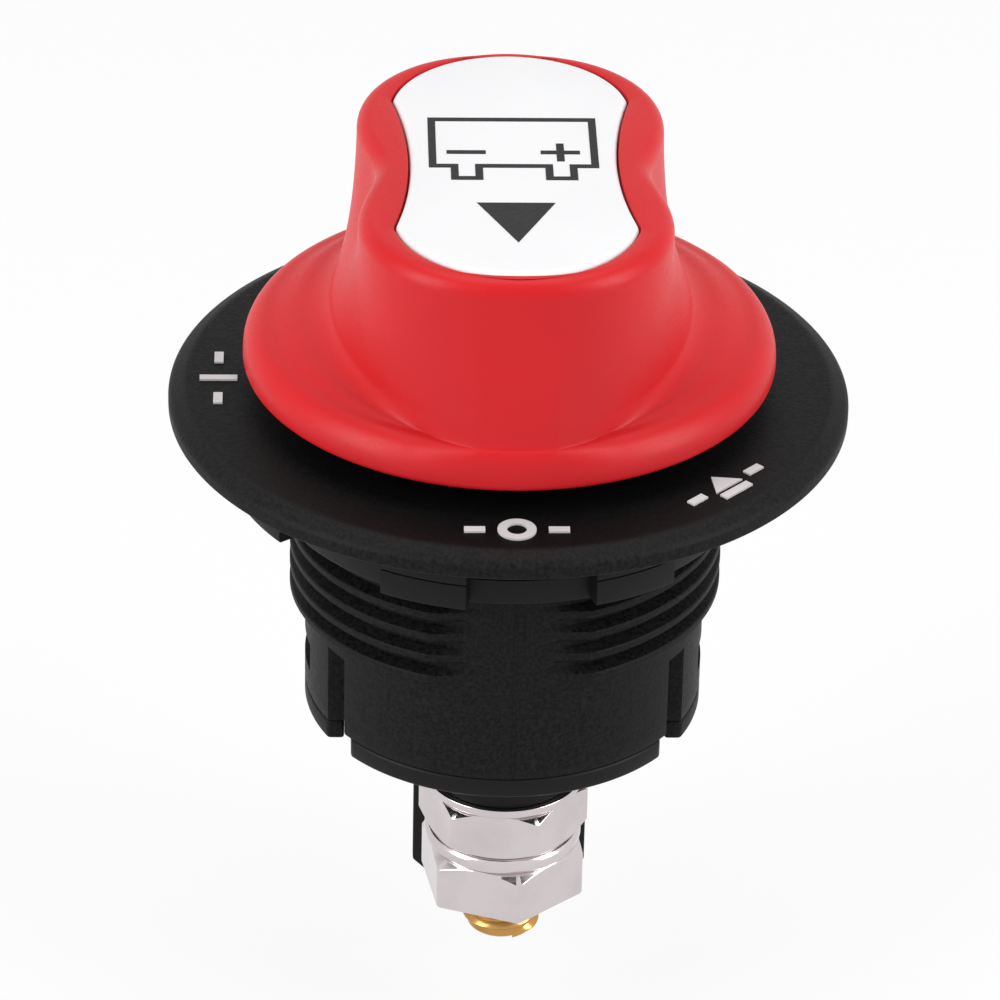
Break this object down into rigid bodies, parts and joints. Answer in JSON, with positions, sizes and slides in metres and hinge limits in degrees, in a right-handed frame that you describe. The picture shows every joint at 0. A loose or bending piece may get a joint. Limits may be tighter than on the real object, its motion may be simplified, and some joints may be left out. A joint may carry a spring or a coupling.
{
  "type": "battery switch",
  "caption": "Rotary battery switch with a round panel flange, a removable red key knob, a threaded barrel with a ring nut, and stud terminals below",
  "frame": {"origin": "centre of the flange's underside, on the barrel's axis, in the plane of the panel's face", "axes": "+Z out of the panel along the knob's axis, -Y the front, where the pointer is at OFF, +X to the right seen from the front"},
  "size_m": [0.067, 0.067, 0.0825],
  "materials": {
    "housing_plastic": "glass-filled nylon, fine grain",
    "mark_white": "raised white pad print",
    "keyway_plastic": "moulded nylon",
    "plain_steel": "zinc plated",
    "base_plastic": "glass-filled nylon",
    "stud_brass": "turned brass",
    "contact_silver": "silver alloy",
    "bright_steel": "polished nickel plate",
    "nut_plastic": "moulded nylon",
    "rotor_plastic": "moulded nylon",
    "seal_rubber": "nitrile rubber",
    "washer_nylon": "natural nylon",
    "bridge_copper": "copper",
    "knob_red": "satin moulded nylon, fine grain",
    "label_white": "satin moulded plastic",
    "ink_black": "black inlay"
  },
  "bodies": {
    "housing": {"housing": "housing_plastic", "position_marks": "mark_white", "keyway_ring": "keyway_plastic", "keyway_screws": "plain_steel", "base": "base_plastic", "stud_front": "stud_brass", "stud_rear": "stud_brass", "contact_pad_front": "contact_silver", "contact_pad_rear": "contact_silver", "flat_washer_front": "bright_steel", "flat_washer_rear": "bright_steel", "inner_nut_front": "bright_steel", "inner_nut_rear": "bright_steel", "lock_washer_front": "bright_steel", "lock_washer_rear": "bright_steel", "outer_nut_front": "bright_steel", "outer_nut_rear": "bright_steel"},
    "panel_nut": {"panel_nut": "nut_plastic"},
    "rotor": {"rotor": "rotor_plastic", "rotor_seal": "seal_rubber", "thrust_washer": "washer_nylon", "detent_spring_front": "plain_steel", "detent_spring_rear": "plain_steel", "contact_spring": "plain_steel"},
    "contact_bridge": {"contact_bridge": "bridge_copper", "bridge_contacts": "contact_silver"},
    "detent_ball_front": {"detent_ball_front": "plain_steel"},
    "detent_ball_rear": {"detent_ball_rear": "plain_steel"},
    "knob": {"knob": "knob_red", "label": "label_white", "battery_symbol": "ink_black", "pointer_mark": "ink_black", "key_stem": "keyway_plastic", "stem_screw": "plain_steel"}
  },
  "joints": [
    {"name": "knob_turn", "type": "hinge", "parent": "housing", "child": "rotor", "pos_m": [0, 0, 0], "axis": [0, 0, 1], "range_deg": [-90, 45]},
    {"name": "knob_lift", "type": "slide", "parent": "rotor", "child": "knob", "axis": [0, 0, 1], "range_m": [0, 0.025]},
    {"name": "panel_nut_travel", "type": "slide", "parent": "housing", "child": "panel_nut", "axis": [0, 0, -1], "range_m": [0, 0.055]},
    {"name": "bridge_float", "type": "slide", "parent": "rotor", "child": "contact_bridge", "axis": [0, 0, 1], "range_m": [0, 0.0008], "stiffness_N_per_m": 1500, "springref_m": -0.003, "deforming": ["contact_spring"]},
    {"name": "detent_front", "type": "slide", "parent": "rotor", "child": "detent_ball_front", "axis": [0, -1, 0], "range_m": [0, 0.0004], "deforming": ["detent_spring_front"]},
    {"name": "detent_rear", "type": "slide", "parent": "rotor", "child": "detent_ball_rear", "axis": [0, 1, 0], "range_m": [0, 0.0004], "deforming": ["detent_spring_rear"]}
  ]
}
